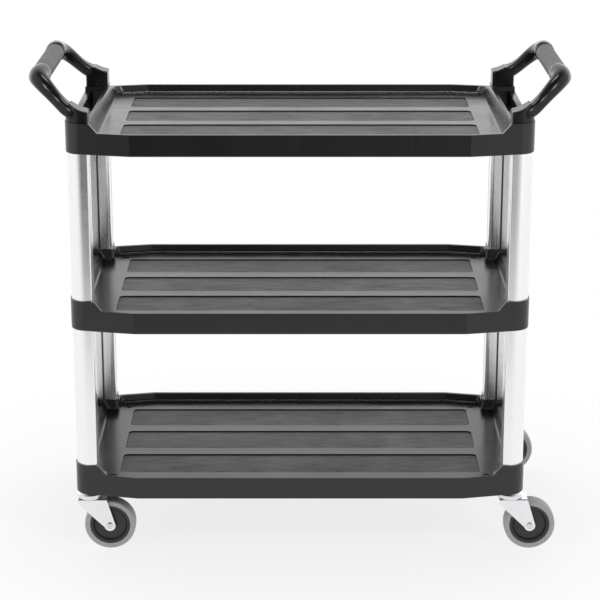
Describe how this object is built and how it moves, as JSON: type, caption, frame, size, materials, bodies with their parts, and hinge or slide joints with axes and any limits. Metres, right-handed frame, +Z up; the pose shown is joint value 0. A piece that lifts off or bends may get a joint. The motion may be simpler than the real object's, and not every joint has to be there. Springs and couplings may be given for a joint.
{
  "type": "food service trolley",
  "caption": "Wheeled trolley with moulded tray shelves on aluminium corner posts, a bail handle with a soft grip at each end, and swivel casters.",
  "frame": {"origin": "on the floor, under the middle of the trolley's bounding box", "axes": "+X along the length, +Y from the front edge to the rear edge, +Z up"},
  "size_m": [1.0336, 0.508, 0.9619],
  "materials": {
    "shelf_plastic": "moulded, fairly glossy, fine grain on the recessed panels",
    "post_aluminium": "satin anodised extrusion",
    "handle_plastic": "glossy moulding",
    "grip": "fine texture",
    "zinc_plate": "bright zinc plate",
    "bright_steel": "bright",
    "screw_steel": "bright",
    "hub_plastic": "satin",
    "tyre": "soft, non-marking"
  },
  "bodies": {
    "frame": {"grip_left": "grip", "grip_right": "grip", "handle_left": "handle_plastic", "handle_right": "handle_plastic", "handle_screws": "screw_steel", "post_lower_front_left": "post_aluminium", "post_lower_front_right": "post_aluminium", "post_lower_rear_left": "post_aluminium", "post_lower_rear_right": "post_aluminium", "post_upper_front_left": "post_aluminium", "post_upper_front_right": "post_aluminium", "post_upper_rear_left": "post_aluminium", "post_upper_rear_right": "post_aluminium", "race_front_left": "zinc_plate", "race_front_right": "zinc_plate", "race_rear_left": "zinc_plate", "race_rear_right": "zinc_plate", "socket_front_left": "bright_steel", "socket_front_right": "bright_steel", "socket_rear_left": "bright_steel", "socket_rear_right": "bright_steel", "stem_front_left": "bright_steel", "stem_front_right": "bright_steel", "stem_rear_left": "bright_steel", "stem_rear_right": "bright_steel", "tray_bottom": "shelf_plastic", "tray_middle": "shelf_plastic", "tray_top": "shelf_plastic"},
    "swivel_front_left": {"fork_front_left": "zinc_plate", "balls_front_left": "bright_steel", "axle_bolt_front_left": "bright_steel", "axle_nut_front_left": "bright_steel", "axle_sleeve_front_left": "bright_steel"},
    "wheel_front_left": {"hub_front_left": "hub_plastic", "tyre_front_left": "tyre"},
    "swivel_front_right": {"fork_front_right": "zinc_plate", "balls_front_right": "bright_steel", "axle_bolt_front_right": "bright_steel", "axle_nut_front_right": "bright_steel", "axle_sleeve_front_right": "bright_steel"},
    "wheel_front_right": {"hub_front_right": "hub_plastic", "tyre_front_right": "tyre"},
    "swivel_rear_left": {"fork_rear_left": "zinc_plate", "balls_rear_left": "bright_steel", "axle_bolt_rear_left": "bright_steel", "axle_nut_rear_left": "bright_steel", "axle_sleeve_rear_left": "bright_steel"},
    "wheel_rear_left": {"hub_rear_left": "hub_plastic", "tyre_rear_left": "tyre"},
    "swivel_rear_right": {"fork_rear_right": "zinc_plate", "balls_rear_right": "bright_steel", "axle_bolt_rear_right": "bright_steel", "axle_nut_rear_right": "bright_steel", "axle_sleeve_rear_right": "bright_steel"},
    "wheel_rear_right": {"hub_rear_right": "hub_plastic", "tyre_rear_right": "tyre"}
  },
  "joints": [
    {"name": "swivel_front_left_turn", "type": "hinge", "parent": "frame", "child": "swivel_front_left", "pos_m": [-0.418, -0.208, 0.1116], "axis": [0, 0, 1], "continuous": true},
    {"name": "wheel_front_left_roll", "type": "hinge", "parent": "swivel_front_left", "child": "wheel_front_left", "pos_m": [-0.3785, -0.208, 0.0508], "axis": [0, 1, 0], "continuous": true},
    {"name": "swivel_front_right_turn", "type": "hinge", "parent": "frame", "child": "swivel_front_right", "pos_m": [0.418, -0.208, 0.1116], "axis": [0, 0, 1], "continuous": true},
    {"name": "wheel_front_right_roll", "type": "hinge", "parent": "swivel_front_right", "child": "wheel_front_right", "pos_m": [0.4575, -0.208, 0.0508], "axis": [0, 1, 0], "continuous": true},
    {"name": "swivel_rear_left_turn", "type": "hinge", "parent": "frame", "child": "swivel_rear_left", "pos_m": [-0.418, 0.208, 0.1116], "axis": [0, 0, 1], "continuous": true},
    {"name": "wheel_rear_left_roll", "type": "hinge", "parent": "swivel_rear_left", "child": "wheel_rear_left", "pos_m": [-0.3785, 0.208, 0.0508], "axis": [0, 1, 0], "continuous": true},
    {"name": "swivel_rear_right_turn", "type": "hinge", "parent": "frame", "child": "swivel_rear_right", "pos_m": [0.418, 0.208, 0.1116], "axis": [0, 0, 1], "continuous": true},
    {"name": "wheel_rear_right_roll", "type": "hinge", "parent": "swivel_rear_right", "child": "wheel_rear_right", "pos_m": [0.4575, 0.208, 0.0508], "axis": [0, 1, 0], "continuous": true}
  ]
}
